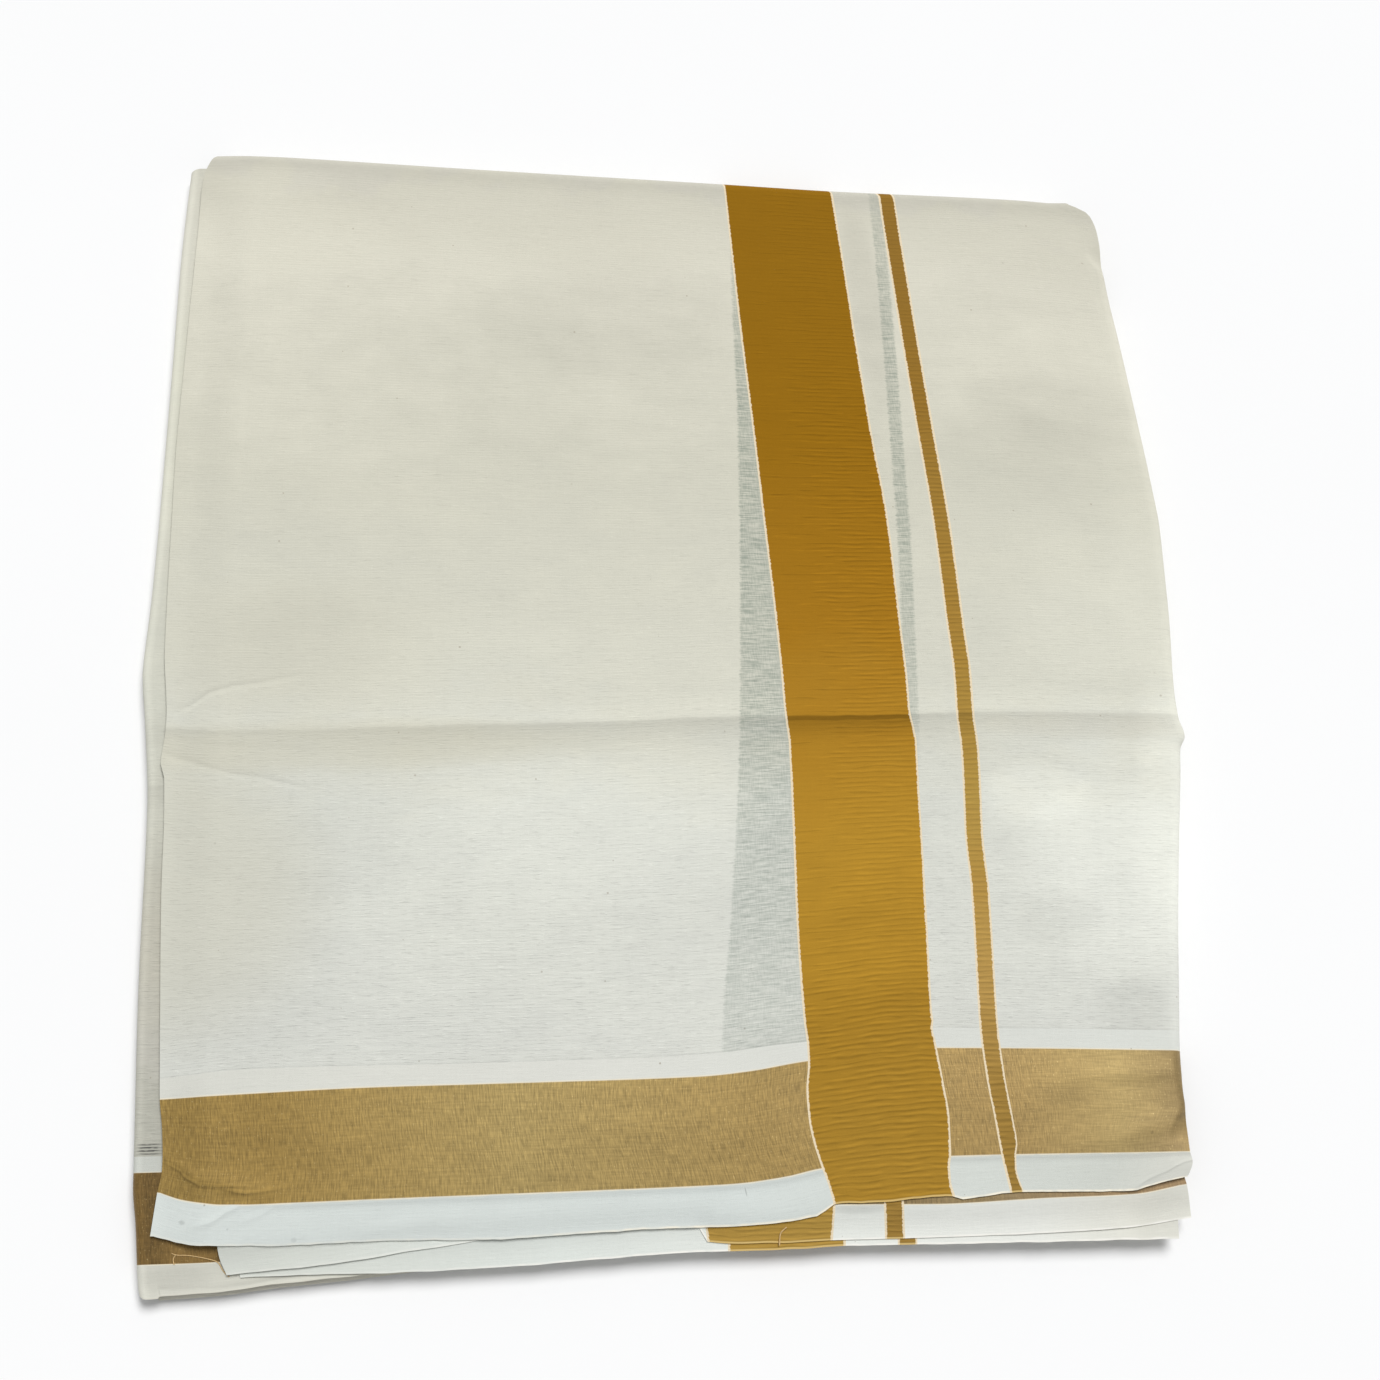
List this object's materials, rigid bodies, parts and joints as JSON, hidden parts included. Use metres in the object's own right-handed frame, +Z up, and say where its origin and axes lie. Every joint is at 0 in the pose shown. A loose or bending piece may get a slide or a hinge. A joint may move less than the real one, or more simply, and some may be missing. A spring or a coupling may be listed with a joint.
{
  "type": "dhoti cloth",
  "caption": "Cotton dhoti cloth folded flat, with a woven border band, a thin stripe and gold end bands; lies on a surface.",
  "frame": {"origin": "centre of the bounding box in plan, on the surface that the cloth rests on", "axes": "+Z up from the surface, +Y towards the crosswise fold, -Y towards the hem ends, +X towards the panel's rolled right edge"},
  "size_m": [0.4584, 0.5242, 0.0156],
  "materials": {
    "front_cotton": "off-white handloom cotton, matt, with mustard and gold woven bands",
    "end_cotton": "plain white end margin of the same cotton, matt",
    "side_cotton": "cream cotton with a gold woven cross band, matt",
    "layer_cotton": "cut-free folded edges of cream cotton, matt"
  },
  "bodies": {
    "root": {"front_panel": "front_cotton", "second_end_panel": "end_cotton", "third_end_panel": "end_cotton", "side_fold_panel": "side_cotton", "folded_core": "layer_cotton"}
  },
  "joints": []
}
